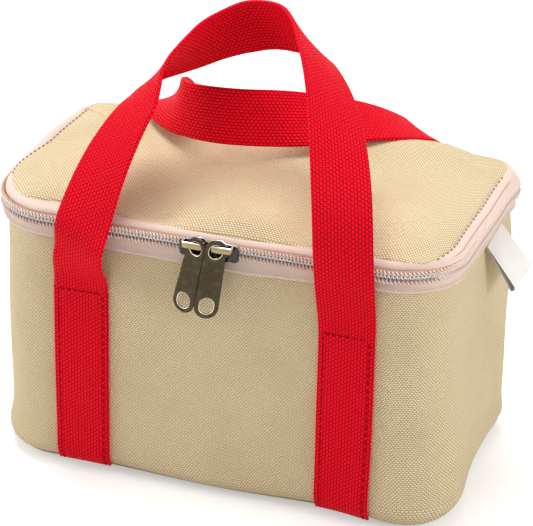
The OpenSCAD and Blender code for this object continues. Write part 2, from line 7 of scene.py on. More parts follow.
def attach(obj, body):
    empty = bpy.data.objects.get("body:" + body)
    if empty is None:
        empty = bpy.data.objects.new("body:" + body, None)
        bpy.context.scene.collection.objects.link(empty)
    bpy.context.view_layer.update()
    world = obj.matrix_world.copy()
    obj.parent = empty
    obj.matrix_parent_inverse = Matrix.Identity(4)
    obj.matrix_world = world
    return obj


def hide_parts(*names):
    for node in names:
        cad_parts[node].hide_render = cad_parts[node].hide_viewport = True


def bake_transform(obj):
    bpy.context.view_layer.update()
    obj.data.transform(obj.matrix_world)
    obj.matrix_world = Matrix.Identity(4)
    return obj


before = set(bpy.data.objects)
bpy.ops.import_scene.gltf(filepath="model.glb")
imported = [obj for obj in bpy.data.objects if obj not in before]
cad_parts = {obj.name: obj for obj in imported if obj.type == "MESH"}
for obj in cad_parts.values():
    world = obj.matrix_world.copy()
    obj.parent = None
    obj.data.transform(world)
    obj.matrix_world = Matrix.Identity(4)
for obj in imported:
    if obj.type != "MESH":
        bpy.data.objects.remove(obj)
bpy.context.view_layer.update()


# ---- Camera -------------------------------------------------------------------------
# A long lens looks down on the bag's front from its right-hand side. The camera hangs
# a little askew, turned about its own line of sight.
def in_scene(name, data):
    """A new object on its data, linked into the scene."""
    item = bpy.data.objects.new(name, data)
    bpy.context.scene.collection.objects.link(item)
    return item


camera_turn, camera_height, camera_roll = (math.radians(angle) for angle in (18.639, 26.575, 0.845))
camera_aim = (
    Matrix.Rotation(camera_turn, 3, "Z")
    @ Matrix.Rotation(math.pi / 2 - camera_height, 3, "X")
    @ Matrix.Rotation(camera_roll, 3, "Z")
)
# Metres to the camera's own right, up and back, from the middle of the bag's underside
camera_way = Vector((0.006486, 0.07596, 1.19742))
camera = in_scene("camera", bpy.data.cameras.new("camera"))
camera.data.lens, camera.data.sensor_width = 184.23, 36
camera.data.clip_start, camera.data.clip_end = 0.05, 20
camera.matrix_world = Matrix.Translation(camera_aim @ camera_way) @ camera_aim.to_4x4()
bpy.context.scene.camera = camera
bpy.context.scene.view_settings.view_transform = "Standard"


# ---- Studio -------------------------------------------------------------------------
# A pale floor that runs on as far as the camera sees, a white room, one large soft box
# above the bag and two weaker ones beside it.
class Wire:
    """A value inside a material. Its operators add the Math nodes."""

    def __init__(self, finish, socket):
        self.finish, self.socket = finish, socket

    def maths(self, operation, *others):
        values = dict(enumerate((self, *others)))
        return self.finish.node("ShaderNodeMath", {"operation": operation}, values)

    def __add__(self, other):
        return self.maths("ADD", other)

    def __mul__(self, other):
        return self.maths("MULTIPLY", other)

    def __truediv__(self, other):
        return self.maths("DIVIDE", other)

    def __rtruediv__(self, other):
        return self.finish.node("ShaderNodeMath", {"operation": "DIVIDE"}, {0: other, 1: self})

    __radd__, __rmul__ = __add__, __mul__

    def sin(self):
        return self.maths("SINE")

    def limited(self):
        return self.finish.node("ShaderNodeClamp", {}, {"Value": self})

    def between(self, low, high):
        settings = {"interpolation_type": "SMOOTHSTEP"}
        sockets = {"Value": self, "From Min": low, "From Max": high}
        return self.finish.node("ShaderNodeMapRange", settings, sockets)


class Finish:
    """The material of one kind of piece, or the light of the room."""

    def __init__(self, name, kind=bpy.data.materials):
        self.owner = kind.new(name)
        self.owner.use_nodes = True
        self.tree = self.owner.node_tree
        self.tree.nodes.clear()

    def node(self, kind, settings, sockets, out=0):
        node = self.tree.nodes.new(kind)
        for name, value in settings.items():
            setattr(node, name, value)
        for name, value in sockets.items():
            if isinstance(value, Wire):
                self.tree.links.new(value.socket, node.inputs[name])
            else:
                node.inputs[name].default_value = value
        return Wire(self, node.outputs[out])

    def place(self):
        """Where a point is in its piece's own space."""
        return self.node("ShaderNodeTexCoord", {}, {}, "Object")

    def flat(self):
        """Where a point is on the flat cloth."""
        return self.node("ShaderNodeUVMap", {"uv_map": "cut"}, {})

    def part(self, vector, axis):
        return self.node("ShaderNodeSeparateXYZ", {}, {"Vector": vector}, axis)

    def mixed(self, share, first, second):
        return self.node("ShaderNodeMix", {"data_type": "RGBA"}, {0: share, 6: first, 7: second}, 2)

    def noise(self, place, scale, detail=2.0, rough=0.5):
        sockets = {"Vector": place, "Scale": scale, "Detail": detail, "Roughness": rough}
        return self.node("ShaderNodeTexNoise", {}, sockets)

    def bump(self, strength, distance, height):
        sockets = {"Strength": strength, "Distance": distance * mm, "Height": height}
        return self.node("ShaderNodeBump", {}, sockets)

    def show(self, kind, sockets, end="Material"):
        """Ends the tree in a shader of this kind."""
        shader = self.node("ShaderNode" + kind, {}, sockets)
        output = self.tree.nodes.new("ShaderNodeOutput" + end)
        self.tree.links.new(shader.socket, output.inputs["Surface"])
        return self.owner


def ink(red, green, blue):
    """A display colour, 0 to 255, as the light it stands for."""
    linear = [c / 255 / 12.92 if c <= 10 else ((c / 255 + 0.055) / 1.055) ** 2.4 for c in (red, green, blue)]
    return (*linear, 1.0)


def clean_rays(finish):
    """1 where the camera, a reflection or a see-through piece looks straight at the background."""
    rays = ("Is Camera Ray", "Is Glossy Ray", "Is Transmission Ray")
    seen, glossy, through = (finish.node("ShaderNodeLightPath", {}, {}, ray) for ray in rays)
    return seen.maths("MAXIMUM", glossy).maths("MAXIMUM", through)


mm = 0.001
white = (1, 1, 1, 1)
room_light = 0.45
room = Finish("room", bpy.data.worlds)
room_strength = clean_rays(room) * (1 - room_light) + room_light
bpy.context.scene.world = room.show("Background", {"Color": white, "Strength": room_strength}, "World")

floor_side, floor_sink, floor_glow = 3.0, 0.0004, 0.42
floor_finish = Finish("pale floor")
floor_matt = floor_finish.node("ShaderNodeBsdfDiffuse", {}, {"Color": ink(232, 231, 229)})
floor_strength = clean_rays(floor_finish) * floor_glow
floor_shine = floor_finish.node("ShaderNodeEmission", {}, {"Color": white, "Strength": floor_strength})
floor_mesh = bpy.data.meshes.new("floor")
floor_corners = [(x * floor_side, y * floor_side, -floor_sink) for x in (-1, 1) for y in (-1, 1)]
floor_mesh.from_pydata(floor_corners, [], [(0, 2, 3, 1)])
floor_mesh.materials.append(floor_finish.show("AddShader", {0: floor_matt, 1: floor_shine}))
floor = in_scene("floor", floor_mesh)

lit_place, box_side = Vector((0, 0, 0.08)), 0.8
soft_boxes = [
    # name, place, watts
    ("top", (-0.25, 0.30, 1.5), 17.5),
    ("left", (-1.4, -0.5, 0.7), 9.5),
    ("right", (1.5, -0.3, 0.7), 10.0),
]
for name, place, watts in soft_boxes:
    lamp = in_scene(name + " box", bpy.data.lights.new(name + " box", "AREA"))
    lamp.data.size, lamp.data.energy = box_side, watts
    lamp.location = place
    lamp.rotation_euler = (lit_place - Vector(place)).to_track_quat("-Z", "Y").to_euler()


# ---- Canvas walls -------------------------------------------------------------------
# Plain-weave cotton canvas over thin foam. One piece wraps the front and both sides, with
# soft front corners. It is seamed to the back panel, and to the base under the roll.
wall_top, wall_t, roll_r, seam_turn = 112.0, 5.1, 12.0, math.radians(46)
roll_down = wall_top - roll_r
seam_down = roll_down + roll_r * seam_turn
core_front, core_back = (72.5, -26.5), (89.5, 43.5)
front_r, back_r = 25.0, 8.0
side_run = core_back[1] - core_front[1]
front_run, back_run = 2 * core_front[0], 2 * core_back[0]
front_arc, back_arc = front_r * math.pi / 2, back_r * math.pi / 2
wall_run = 2 * side_run + 2 * front_arc + front_run
whole_run = wall_run + 2 * back_arc + back_run

# How the soft bag stands off its plan, over its whole height: run, spread along it, rise
plan_swells = [(57, 22, 2.8), (26, 18, 2.4), (370, 16, 2.4), (335, 20, 1.0), (560, 12, -1.0)]

# Where the foam pushes the wall out or lets it sink: run, height, spread along, spread up, rise
wall_swells = [
    (94, 62, 24, 34, 1.2),
    (306, 32, 30, 28, 4.4),
    (366, 30, 34, 24, 0.8),
    (350, 90, 34, 28, 2.6),
    (362, 2, 30, 10, 2.6),
    (181, 45, 60, 30, 1.2),
    (274, 6, 28, 24, 6.6),
    (183, 6, 40, 16, 3.0),
    (76, 0, 26, 12, 4.6),
    (137, 70, 26, 30, -0.7),
    (212, 78, 22, 22, -0.6),
    (475, 55, 70, 34, 2.4),
]
# These swells fade out over a height, to end below the wall's top edge
swell_fade, swell_end = 22.0, 4.0
# How deep the canvas dips at its side seams and at its base seam, and over what way
side_dip, side_dip_way, base_dip, base_dip_way = 1.1, 1.6, 1.3, 1.2


def near_to(s, run):
    """The way from a place on the run, the short way round."""
    return (s - run + whole_run / 2) % whole_run - whole_run / 2


def bump_at(value, centre, width):
    """A smooth hump: 1 at its centre, and nothing well past its width."""
    return np.exp(-(((value - centre) / width) ** 2))


def round_bag(s, out):
    """Points and outward directions round the bag, at a distance s along it from the left back seam."""
    s, out = np.broadcast_arrays(np.asarray(s, float) % whole_run, np.asarray(out, float))
    x, y, turn = np.zeros(s.shape), np.zeros(s.shape), np.zeros(s.shape)
    legs = [
        # length, side of the core it is on, heading of its outward side, radius, whether it turns
        (side_run, (-core_back[0], core_back[1]), 180, back_r, 0),
        (front_arc, (-core_front[0], core_front[1]), 180, front_r, 1),
        (front_run, (-core_front[0], core_front[1]), 270, front_r, 0),
        (front_arc, (core_front[0], core_front[1]), 270, front_r, 1),
        (side_run, (core_front[0], core_front[1]), 0, front_r, 0),
        (back_arc, (core_back[0], core_back[1]), 0, back_r, 1),
        (back_run, (core_back[0], core_back[1]), 90, back_r, 0),
        (back_arc, (-core_back[0], core_back[1]), 90, back_r, 1),
    ]
    start = 0.0
    for length, (cx, cy), heading, r, turns in legs:
        here = (s >= start) & (s <= start + length)
        along = s[here] - start
        angle = math.radians(heading) + turns * along / r
        ahead = (1 - turns) * along
        x[here] = cx + r * np.cos(angle) - ahead * np.sin(angle)
        y[here] = cy + r * np.sin(angle) + ahead * np.cos(angle)
        turn[here] = angle
        start += length
    nx, ny = np.cos(turn), np.sin(turn)
    away = out + sum(rise * bump_at(near_to(s, run), 0, spread) for run, spread, rise in plan_swells)
    return x + nx * away, y + ny * away, nx, ny


def wall_swell(s, z):
    """How far the canvas stands off its straight wall."""
    total = 0
    for run, height, along, up, rise in wall_swells:
        total = total + rise * bump_at(near_to(s, run), 0, along) * bump_at(z, height, up)
    return total * np.clip((wall_top - swell_end - z) / swell_fade, 0, 1)


def wall_points(s, down, proud):
    """Points on the wall: down is the way from its top edge over the roll, proud the way off its face."""
    s, down, proud = np.broadcast_arrays(*(np.asarray(value, float) for value in (s, down, proud)))
    turn = np.clip((down - roll_down) / roll_r, 0, math.pi / 2)
    z = np.where(turn > 0, roll_r - roll_r * np.sin(turn), wall_top - down)
    swell = wall_swell(s, z) * np.cos(turn) + proud
    x, y, nx, ny = round_bag(s, -roll_r + roll_r * np.cos(turn))
    aside = swell * np.cos(turn)
    return np.stack([x + nx * aside, y + ny * aside, z - swell * np.sin(turn)], -1)


def grid(first, second):
    """Two grids, of the first values down the rows and the second ones across them."""
    return np.meshgrid(first, second, indexing="ij")


def cells(rows):
    """The four corners of every cell of a grid."""
    return np.stack([rows[:-1, :-1], rows[:-1, 1:], rows[1:, 1:], rows[1:, :-1]], 2)


def cloth(name, points, cut):
    """A mesh from rows of points in millimetres, with the flat cloth's own coordinates as its UV map."""
    index = np.arange(points[..., 0].size).reshape(points.shape[:2])
    mesh = bpy.data.meshes.new(name)
    mesh.from_pydata((points.reshape(-1, 3) * mm).tolist(), [], cells(index).reshape(-1, 4).tolist())
    corners = (cells(cut) * mm).astype(np.float32)
    mesh.uv_layers.new(name="cut").data.foreach_set("uv", corners.ravel())
    mesh.shade_smooth()
    return in_scene(name, mesh)


def weave(finish, row, step, wander=0.0, stacked="Y", going="X"):
    """Rows of raised yarns, each row half a step on from the last: 0 in the gaps, 1 on a yarn."""
    flat = finish.flat()
    drift = finish.node("ShaderNodeTexNoise", {}, {"Vector": flat, "Scale": 90.0, "Detail": 2.0}, "Color")
    sockets = {0: drift, 1: (wander, wander, 0), 2: flat}
    moved = finish.node("ShaderNodeVectorMath", {"operation": "MULTIPLY_ADD"}, sockets)
    rows = finish.part(moved, stacked) / row
    steps = finish.part(moved, going) / step + rows.maths("FLOOR") * 0.5
    return flat, (rows * math.pi).sin().maths("ABSOLUTE") * (steps * math.pi).sin().maths("ABSOLUTE")


def canvas_finish(name, yarn, gap, worn):
    """Cotton canvas: pale yarns with painted shade in the gaps between them, slubs, and patches that handling
    has rubbed paler.
    """
    finish = Finish(name)
    flat, over = weave(finish, 0.84 * mm, 1.34 * mm, 0.4 * mm)
    drawn = finish.node("ShaderNodeMapping", {}, {"Vector": flat, "Scale": (9, 1, 1)})
    slub = finish.noise(drawn, 260.0, 3.0)
    cloud = finish.noise(flat, 26.0, 4.0)
    crown = over.between(0.0, 0.7)
    # The gap colour is painted shade in the hollows between the yarns; below, it also darkens random clouds.
    thread = finish.mixed(crown, gap, yarn)
    thread = finish.mixed(slub.between(0.5, 0.8) * 0.4, thread, worn)
    thread = finish.mixed(cloud.between(0.4, 0.75) * 0.2, thread, gap)
    bump = finish.bump(0.8, 0.3, crown * 0.8 + slub * 0.3)
    sockets = {"Base Color": thread, "Roughness": 0.95, "Normal": bump}
    return finish.show("BsdfPrincipled", {**sockets, "Specular IOR Level": 0.15, "Sheen Weight": 0.1})


def dressed(piece, material):
    """Gives a piece its material."""
    piece.data.materials.append(material)
    return piece


def wall_panel(name, s_from, s_to):
    """An outer face from the top edge to the base seam, its seams turned in, over a plain inner face."""
    run = np.linspace(s_from, s_to, int((s_to - s_from) / 2) + 1)
    down = np.concatenate([[0.0], np.arange(1.0, roll_down - 1, 2.0), np.linspace(roll_down, seam_down, 9)])
    side_seam = -side_dip * np.exp(-np.minimum(run - s_from, s_to - run) / side_dip_way)
    base_seam = -base_dip * np.exp(-(seam_down - down) / base_dip_way)
    s, d = grid(run, down)
    outer = wall_points(s, d, side_seam[:, None] + base_seam[None, :])
    inner_r = roll_r - wall_t
    turn = np.clip((d - roll_down) / roll_r, 0, math.pi / 2)
    x, y, _, _ = round_bag(s, -wall_t - inner_r * (1 - np.cos(turn)))
    inner = np.stack([x, y, np.where(turn > 0, roll_r - inner_r * np.sin(turn), wall_top - d)], -1)
    cut = np.stack([s, -d], -1)
    piece = cloth(name, np.concatenate([outer, inner[:, ::-1]], 1), np.concatenate([cut, cut[:, ::-1]], 1))
    return dressed(piece, canvas)


# The gap colour ink(182, 155, 109) is painted shade in the weave's hollows.
canvas = canvas_finish("khaki canvas", ink(245, 229, 192), ink(182, 155, 109), ink(247, 234, 206))
wall_cover = wall_panel("wall_cover", 0.0, wall_run)
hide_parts("wall_canvas", "wall_foam")
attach(wall_cover, "bag")
back_cover = wall_panel("back_cover", wall_run, whole_run)
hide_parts("back_canvas")
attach(back_cover, "bag")


# ---- Base ---------------------------------------------------------------------------
# One panel of the same canvas, painted darker as shade where it turns under, over a sheet of foam.
# It is sewn to the walls under the roll, and the bag stands on it.
def drawn_in(rim, reach, shares, y=0.0):
    """Places from a rim in to a spine along the bag's middle, which reaches this far to each side."""
    spine = np.stack([np.clip(rim[:, 0], -reach, reach), np.full(len(rim), y)], -1)
    return rim[:, None] + (spine - rim)[:, None] * shares[None, :, None]


def at_height(places, z):
    """Points over places, at the heights z."""
    return np.concatenate([places, np.broadcast_to(z, places.shape[:2])[..., None]], -1)


# A darker copy of the wall canvas: painted shade for the base, which faces down. Its gap colour is painted
# shade in the weave too.
base_canvas = canvas_finish("base canvas painted shade", ink(186, 160, 118), ink(136, 110, 74), ink(200, 178, 140))
ring_run = np.linspace(0, whole_run, 282)
inward = np.linspace(0, 1, 14)[1:]
base_reach, base_in, base_tuck, base_hollow = 46, 0.15, 0.7, 0.25
base_down = roll_down + roll_r * np.linspace(seam_turn, math.pi / 2, 7)
s, d = grid(ring_run, base_down)
base_roll = wall_points(s, d, -base_in - base_tuck * np.exp(-(d - seam_down)))
base_roll[..., 2] = np.maximum(base_roll[..., 2], 0.0)
base_places = drawn_in(base_roll[:, -1, :2], base_reach, inward)
base_flat = at_height(base_places, base_hollow * (1 - (1 - inward) ** 2))
base_points = np.concatenate([base_roll, base_flat], 1)
base_cover = cloth("base_cover", base_points, base_points[..., :2])
dressed(base_cover, base_canvas)
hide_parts("base_canvas", "base_foam")
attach(base_cover, "bag")


# ---- Lining -------------------------------------------------------------------------
# Foil-faced film, creased over the foam of the walls and the base. Its raw edge ends under
# the tape round the mouth.
foil_finish = Finish("foil lining")
foil_place = foil_finish.place()
foil_sockets = {"Vector": foil_place, "Scale": 42.0}
foil_crease = foil_finish.node("ShaderNodeTexVoronoi", {"feature": "DISTANCE_TO_EDGE"}, foil_sockets)
foil_cloud = foil_finish.noise(foil_place, 60.0, 4.0)
foil = foil_finish.show("BsdfPrincipled", {
    "Base Color": foil_finish.mixed(foil_cloud.between(0.3, 0.7), ink(188, 190, 194), ink(222, 223, 226)),
    "Metallic": 0.75,
    "Roughness": foil_cloud * 0.2 + 0.28,
    "Normal": foil_finish.bump(0.5, 0.8, foil_crease.between(0.0, 0.12) + foil_cloud * 0.4),
})

lining_in, lining_slack, lining_top, lining_floor, lining_reach = 5.9, 0.35, 111.9, 5.9, 40
wrinkle_top, wrinkle_fade = 104, 10
lining_r = roll_r - lining_in
wall_z, turns_in = np.linspace(lining_top, roll_r, 34), np.radians(np.linspace(15, 90, 6))
lining_bend = np.concatenate([0 * wall_z, turns_in])
lining_z = np.concatenate([wall_z, roll_r - lining_r * np.sin(turns_in)])
s, z = grid(ring_run % whole_run, lining_z)
_, bend = grid(ring_run, lining_bend)
wrinkle = lining_slack * np.sin(s / 5.3 + 0.6 * np.sin(z / 9)) * np.sin(z / 7.1 + s / 23)
wrinkle = wrinkle * np.clip((wrinkle_top - z) / wrinkle_fade, 0, 1) * (bend == 0)
x, y, _, _ = round_bag(s, -lining_in - lining_r * (1 - np.cos(bend)) - lining_slack + wrinkle)
lining_wall = np.stack([x, y, z], -1)
lining_base = at_height(drawn_in(lining_wall[:, -1, :2], lining_reach, inward), lining_floor)
lining_points = np.concatenate([lining_wall, lining_base], 1)[:, ::-1]
lining = cloth("silver_lining", lining_points, lining_points[..., :2])
dressed(lining, foil)
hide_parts("foil_lining")
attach(lining, "bag")


# ---- Mouth tape ---------------------------------------------------------------------
# Rose-beige woven tape, folded over the raw edges of the wall and the lining and sewn down
# all round the mouth, behind the zip.
def tape_finish(name, thread, gap):
    """Smooth woven tape: fine ribs along its edge, with a soft sheen."""
    finish = Finish(name)
    flat = finish.flat()
    along, across = finish.part(flat, "X"), finish.part(flat, "Y")
    slanted = (along + across * 0.6) * (math.pi / (0.42 * mm))
    rib = slanted.sin() * (across * (math.pi / (0.36 * mm))).sin()
    cloud = finish.noise(flat, 45.0, 3.0)
    colour = finish.mixed(rib.between(-1.2, 0.9), gap, thread)
    colour = finish.mixed(cloud.between(0.35, 0.8) * 0.25, colour, gap)
    sockets = {"Base Color": colour, "Roughness": 0.62, "Normal": finish.bump(0.3, 0.1, rib)}
    sockets |= {"Specular IOR Level": 0.35, "Sheen Weight": 0.12, "Sheen Roughness": 0.4}
    return finish.show("BsdfPrincipled", sockets)


def along_section(section):
    """The way along a line of points to each of them."""
    steps = np.hypot(*np.diff(section, axis=0).T)
    return np.concatenate([[0], np.cumsum(steps)])


def rounded_line(corners, cut, steps=5):
    """A line of points through the corners, each corner rounded off over a distance of cut."""
    line = [np.array(corners[0], float)]
    for before, here, after in zip(corners, corners[1:], corners[2:]):
        before, here, after = (np.array(p, float) for p in (before, here, after))
        a, b = before - here, after - here
        reach = min(cut, np.hypot(*a) / 2, np.hypot(*b) / 2)
        start, end = here + a / np.hypot(*a) * reach, here + b / np.hypot(*b) * reach
        for t in np.linspace(0, 1, steps):
            line.append((1 - t) ** 2 * start + 2 * t * (1 - t) * here + t**2 * end)
    line.append(np.array(corners[-1], float))
    return np.array(line)


def swept(name, run, section):
    """A section of (out, up) points swept round the zip's line: the same all round, or one for each place."""
    section = np.broadcast_to(section, (len(run), *section.shape[-2:]))
    x, y, _, _ = round_bag(run[:, None], zip_out + section[..., 0])
    points = np.stack([x, y, zip_z + section[..., 1]], -1)
    cut = np.stack(np.broadcast_arrays(run[:, None], along_section(section[measured_at])[None, :]), -1)
    return cloth(name, points, cut)


# The zip's line: its height, and how far it stands off the wall
zip_z, zip_out = 117.0, 2.2
# The place on the run whose section is measured for the cloth's own coordinates
measured_at = 100
tape = tape_finish("rose tape", ink(236, 214, 201), ink(210, 182, 166))
mouth_fold = rounded_line([(-2.3, -4.1), (-8.8, -4.1), (-9.0, -13), (-8.1, -13.1)], 0.8)
mouth_line = np.concatenate([[(-2.3, -8), (-2.3, -4.15)], mouth_fold])
mouth_tape = swept("mouth_tape", ring_run, mouth_line)
dressed(mouth_tape, tape)
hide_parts("mouth_binding")
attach(mouth_tape, "bag")


# ---- Zip tapes ----------------------------------------------------------------------
# Two woven tapes that the coil is sewn to. The lower one hangs over the wall's edge and ends
# in a turned hem. The upper one rolls in over the lid's edge and is sewn to its canvas.
def along_knots(run, knots):
    """A smooth value along the run, through (run, value) knots."""
    places, values = np.array(knots, float).T
    fine = np.interp(run, places, values)
    kernel = np.hanning(9)
    padded = np.concatenate([np.full(4, fine[0]), fine, np.full(4, fine[-1])])
    return np.convolve(padded, kernel / kernel.sum(), "valid")


# How far the lower tape hangs below the zip: run, way down
drop_knots = [
    (0, 8.5), (67, 8.0), (107, 7.4), (147, 9.2), (197, 9.9), (254, 7.2), (297, 8.0), (363, 9.0), (568, 8.5),
]
# The upper tape's inner edge, where the lid's canvas starts: run, height over the zip, way in
edge_knots = [
    (0, 7.5, 7.0), (10, 7.5, 8.2), (26, 7.4, 8.8), (37, 7.0, 8.4), (52, 6.8, 5.6), (64, 6.5, 3.8),
    (77, 5.6, 4.8), (95, 5.4, 4.8), (99, 5.2, 6.2), (105, 5.1, 8.4), (113, 5.0, 9.4), (126, 4.8, 8.0),
    (145, 4.6, 5.4), (167, 4.4, 4.3), (193, 4.2, 3.7), (207, 4.4, 4.6), (218, 4.6, 5.2), (234, 4.8, 6.2),
    (253, 5.0, 5.2), (265, 5.2, 3.0), (273, 5.2, 2.4), (279, 5.3, 4.6), (289, 5.5, 5.6), (350, 5.9, 5.8),
    (362, 7.2, 5.6), (368, 8.2, 5.0), (376, 8.7, 2.4), (384, 8.8, 2.2), (548, 8.8, 2.2), (556, 8.7, 4.0),
    (562, 7.9, 6.0), (568, 7.5, 7.0),
]
tape_drop = along_knots(ring_run, drop_knots)
edge_up = along_knots(ring_run, [(run, up) for run, up, _ in edge_knots])
edge_in = along_knots(ring_run, [(run, inward_by) for run, _, inward_by in edge_knots])
# From the front right corner to the back both tapes bulge out over the coil: 0 apart, 1 in full
tape_cover = np.clip((ring_run - 266) / 16, 0, 1) * np.clip((376 - ring_run) / 8, 0, 1)
tape_face, tape_t, zip_gap = -1.0, 0.75, 0.4


def lower_tape_section(drop, cover):
    """Down the tape's face, round its hem and up its back."""
    hem_r, hem_out = 0.75, 0.9
    line = [
        (tape_face - tape_t, -zip_gap), (tape_face + 2.3 * cover, -zip_gap),
        (tape_face + 2.7 * cover, -1.5), (tape_face + 2.3 * cover, -drop * 0.36),
        (tape_face + 0.9 * cover, -drop * 0.52),
        (tape_face + 0.15, -drop * 0.72), (tape_face + hem_out, -drop + 1.0),
    ]
    for angle in np.radians([-5, -40, -80, -120, -160]):
        out, up = hem_r * math.cos(angle), hem_r * math.sin(angle)
        line.append((tape_face + hem_out - hem_r + out, -drop + hem_r + up))
    line += [(tape_face - 1.35, -drop + 2.2), (tape_face - tape_t - 0.1, -drop + 2.6)]
    return np.array(line + [(tape_face - tape_t, -drop * 0.5)])


def upper_tape_section(up, inward_by, cover):
    """Up the tape's face, over to its inner edge and back down inside."""
    outer = [
        (tape_face + 2.2 * cover, zip_gap), (tape_face + 2.6 * cover, 1.5),
        (tape_face + 0.5 * cover, up * 0.62), (tape_face - 1.4, up - 0.2), (-inward_by, up),
    ]
    inner = [
        (-inward_by, up - 0.7), (tape_face - 2.0, up - 0.9),
        (tape_face - tape_t, up * 0.55), (tape_face - tape_t, zip_gap),
    ]
    return np.concatenate([rounded_line(outer, 2.2, 6), rounded_line(inner, 1.4, 4), outer[:1]])


lower_sections = [lower_tape_section(*place) for place in zip(tape_drop, tape_cover)]
lower_tape = swept("lower_tape", ring_run, np.array(lower_sections))
dressed(lower_tape, tape)
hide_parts("lower_zip_tape")
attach(lower_tape, "bag")

upper_sections = [upper_tape_section(*place) for place in zip(edge_up, edge_in, tape_cover)]
upper_tape = swept("upper_tape", ring_run, np.array(upper_sections))
dressed(upper_tape, tape)
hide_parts("upper_zip_tape")
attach(upper_tape, "lid")


# ---- Zip coil -----------------------------------------------------------------------
# Two coils of nylon wire, hooked into each other and each sewn to its tape over a cord, with
# one strand of thread for each turn. The hem of the lower tape has its own row of stitches.
def yarn_finish(name, light, dark):
    """Twisted sewing thread."""
    finish = Finish(name)
    twist = finish.noise(finish.place(), 1800.0, 2.0)
    colour = finish.mixed(twist.between(0.35, 0.65), dark, light)
    sockets = {"Base Color": colour, "Roughness": 0.7, "Normal": finish.bump(0.5, 0.08, twist)}
    return finish.show("BsdfPrincipled", {**sockets, "Specular IOR Level": 0.1})


def tube(line, radius, around=6):
    """The rings of a round thread along a line of points in millimetres, closed at both ends."""
    along = np.gradient(line, axis=0)
    along /= np.linalg.norm(along, axis=1)[:, None]
    aside = np.where(np.abs(along[:, 2:]) > 0.9, [[1.0, 0, 0]], [[0, 0, 1.0]])
    first = np.cross(along, aside)
    first /= np.linalg.norm(first, axis=1)[:, None]
    second = np.cross(along, first)
    angle = np.arange(around + 1) / around * 2 * math.pi
    ring = first[:, None] * np.cos(angle)[None, :, None] + second[:, None] * np.sin(angle)[None, :, None]
    start, end = (np.broadcast_to(point, (1, around + 1, 3)) for point in (line[0], line[-1]))
    return np.concatenate([start, line[:, None] + ring * radius, end])


def tubes(name, lines, radius, around=6):
    """Many threads of equal length in one mesh."""
    threads = np.array([tube(line, radius, around) for line in lines])
    index = np.arange(threads[..., 0].size).reshape(threads.shape[:3])
    faces = np.concatenate([cells(one).reshape(-1, 4) for one in index])
    mesh = bpy.data.meshes.new(name)
    mesh.from_pydata((threads.reshape(-1, 3) * mm).tolist(), [], faces.tolist())
    mesh.shade_smooth()
    return in_scene(name, mesh)


def zip_place(run, out, up):
    """A line of points, out and up from the zip's line."""
    x, y, _, _ = round_bag(run, zip_out + out)
    return np.stack([x, y, zip_z + up + 0 * x], -1)


coil_finish = Finish("nylon coil")
coil_cloud = coil_finish.noise(coil_finish.place(), 900.0, 2.0)
nylon = coil_finish.show("BsdfPrincipled", {
    "Base Color": coil_finish.mixed(coil_cloud.between(0.3, 0.7), ink(232, 220, 215), ink(254, 249, 247)),
    "Roughness": 0.32,
    "Normal": coil_finish.bump(0.2, 0.05, coil_cloud),
    "Specular IOR Level": 0.6,
})
rose_thread = yarn_finish("rose thread", ink(250, 236, 228), ink(226, 196, 182))
# The cord's copper brown is painted shade, which shows between the strands of thread.
cord_painted_shade = yarn_finish("cord painted shade", ink(206, 164, 142), ink(178, 132, 108))

coil_pitch, coil_start, coil_stop = 1.5, -4.0, wall_run + 4.0
coil_turns, coil_steps = int((coil_stop - coil_start) / coil_pitch), 12
coil_depth, coil_wire_r, strand_r, strand_way = 0.62, 0.36, 0.34, 1.1
# Across the coil from the zip's line: the cord's section and one strand of thread, as (out, up)
cord_line = np.array([(-0.5, 1.05), (0.3, 1.1), (0.6, 1.5), (0.6, 2.3), (0.3, 2.75), (-0.5, 2.85)])
strand_line = np.array([(0.5, 1.3), (0.85, 1.7), (0.85, 2.2), (0.5, 2.6)])


def coil_half(name, up, phase, node, body):
    """One coil, hooked past the middle into the other, with its cord and its row of thread."""
    turns = np.arange(coil_turns * coil_steps + 1) / coil_steps
    angle = turns * 2 * math.pi
    across = 0.55 + 0.9 * np.sign(np.cos(angle)) * np.abs(np.cos(angle)) ** 0.8
    line = zip_place(coil_start + (turns + phase) * coil_pitch, coil_depth * np.sin(angle), up * across)
    piece = tubes(name, [line], coil_wire_r)
    dressed(piece, nylon)
    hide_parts(node)
    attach(piece, body)
    cord = swept(name + "_cord", ring_run[ring_run < coil_stop], cord_line * (1, up))
    dressed(cord, cord_painted_shade)
    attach(cord, body)
    out, height = (strand_line[::-up] * (1, up)).T
    starts = coil_start + (np.arange(coil_turns - 1) + phase) * coil_pitch
    strands = [zip_place(np.linspace(start, start + strand_way, 4), out, height) for start in starts]
    thread = tubes(name + "_thread", strands, strand_r)
    dressed(thread, rose_thread)
    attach(thread, body)


coil_half("lower_coil", -1, 0.0, "lower_zip_coil", "bag")
coil_half("upper_coil", 1, 0.5, "upper_zip_coil", "lid")

hem_stitch, hem_pitch, hem_up, hem_out, hem_thread_r = 0.8, 1.5, 1.5, 0.05, 0.14
hem_lines = []
for start in np.arange(2, wall_run - 2, hem_pitch):
    places = start + np.linspace(0, hem_stitch, 3)
    hem_lines.append(zip_place(places, hem_out, hem_up - np.interp(places, ring_run, tape_drop)))
hem_sewing = tubes("hem_sewing", hem_lines, hem_thread_r, 5)
dressed(hem_sewing, rose_thread)
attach(hem_sewing, "bag")


